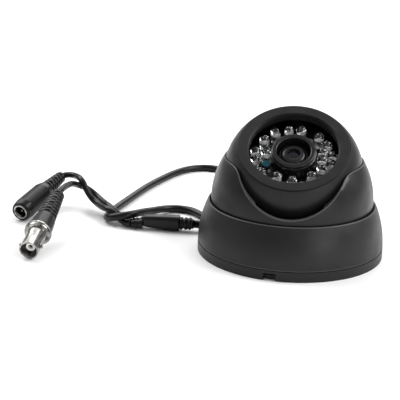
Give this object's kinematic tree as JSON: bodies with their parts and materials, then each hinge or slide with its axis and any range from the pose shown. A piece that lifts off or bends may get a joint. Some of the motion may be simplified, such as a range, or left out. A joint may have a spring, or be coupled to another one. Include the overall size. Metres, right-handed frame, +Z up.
{
  "type": "dome cctv camera",
  "caption": "Black surface-mount dome camera with a tilting ball, infrared lamps round its lens, and a cable that splits into a video connector and a power socket.",
  "frame": {"origin": "centre of the underside of the base plate", "axes": "+Z up, the camera looks towards -Y, the pigtail lies on the table on the -X side"},
  "size_m": [0.195, 0.182, 0.0721],
  "materials": {
    "satin_black": "satin moulded ABS",
    "dome_black": "satin moulded ABS, a little smoother",
    "hood_black": "semi-gloss",
    "cable_black": "slightly glossy PVC",
    "foam_black": "matt foam rubber",
    "board_black": "black solder mask",
    "board_green": "green solder mask",
    "chip_black": "matt epoxy",
    "lamp_clear": "water-clear epoxy",
    "sensor_blue": "blue-green coated cell",
    "lens_glass": "coated glass",
    "filter_pink": "infrared cut filter",
    "nickel": "bright nickel plate",
    "screw_steel": "zinc-plated steel",
    "brass": "plain brass",
    "white_plastic": "natural nylon"
  },
  "bodies": {
    "base": {"base_plate": "satin_black", "friction_ring": "foam_black", "cable_grommet": "cable_black", "inner_lead": "cable_black", "cable_tie": "white_plastic", "main_cable": "cable_black", "cable_splitter": "cable_black", "dc_cable": "cable_black", "bnc_cable": "cable_black", "dc_socket_body": "cable_black", "dc_socket_sleeve": "nickel", "dc_socket_pin": "nickel", "bnc_boot": "cable_black", "bnc_shell": "nickel", "bnc_insulator": "white_plastic", "bnc_contact": "brass"},
    "cover": {"cover_ring": "satin_black"},
    "dome": {"inner_dome": "dome_black"},
    "ball": {"ball_front": "dome_black", "ball_rear": "dome_black", "ball_screws": "screw_steel", "face_bezel": "satin_black", "led_board": "board_black", "ir_lamps": "lamp_clear", "light_sensor": "sensor_blue", "board_posts": "brass", "board_screws": "screw_steel", "sensor_board": "board_green", "board_chips": "chip_black", "image_sensor": "chip_black", "harness_plug": "white_plastic", "inner_harness": "cable_black", "lens_holder": "chip_black", "ir_filter": "filter_pink", "lens_hood": "hood_black"},
    "lens": {"lens_barrel": "hood_black", "lens_glass": "lens_glass"}
  },
  "joints": [
    {"name": "cover_twist", "type": "hinge", "parent": "base", "child": "cover", "pos_m": [0, 0, 0.012], "axis": [0, 0, 1], "range_deg": [0, 30]},
    {"name": "pan", "type": "hinge", "parent": "base", "child": "dome", "pos_m": [0, 0, 0.0384], "axis": [0, 0, 1], "range_deg": [-175, 175]},
    {"name": "tilt", "type": "hinge", "parent": "dome", "child": "ball", "pos_m": [0, 0, 0.0387], "axis": [1, 0, 0], "range_deg": [-34, 35]},
    {"name": "focus", "type": "hinge", "parent": "ball", "child": "lens", "pos_m": [0, 0, 0.0387], "axis": [0, -0.565, 0.8251], "range_deg": [-180, 180]}
  ]
}
